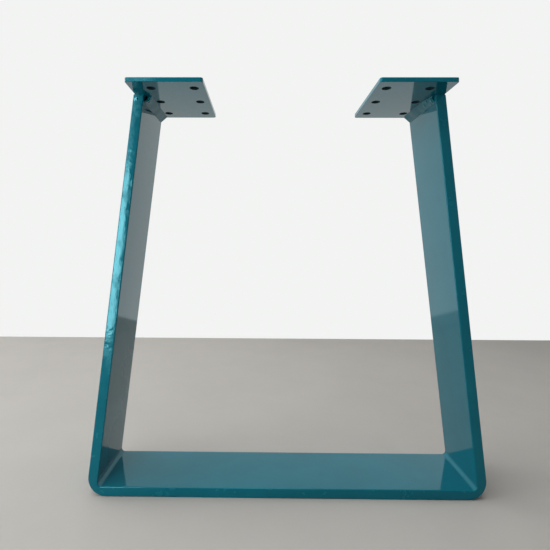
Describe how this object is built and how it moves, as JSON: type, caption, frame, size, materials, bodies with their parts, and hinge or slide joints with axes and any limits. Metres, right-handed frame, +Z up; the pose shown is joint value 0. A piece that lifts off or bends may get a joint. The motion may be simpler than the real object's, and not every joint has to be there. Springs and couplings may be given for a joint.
{
  "type": "table leg",
  "caption": "Trapezoid table leg of bent flat steel bar with welded screw plates on top of its leaning uprights, painted glossy teal.",
  "frame": {"origin": "on the floor, on the leg's symmetry plane, below the middle of the mounting plates' depth", "axes": "+X across the leg to the right as seen from the front, +Y from the front edge of the plates to the flush back, +Z up"},
  "size_m": [0.3952, 0.1, 0.4],
  "materials": {
    "bar_paint": "glossy teal paint on hot rolled steel bar",
    "plate_paint": "glossy teal paint on steel plate",
    "weld_paint": "glossy teal paint over an uneven weld bead"
  },
  "bodies": {
    "root": {"bent_bar_frame": "bar_paint", "left_mounting_plate": "plate_paint", "right_mounting_plate": "plate_paint", "left_inner_weld": "weld_paint", "right_inner_weld": "weld_paint", "left_outer_weld": "weld_paint", "right_outer_weld": "weld_paint"}
  },
  "joints": []
}
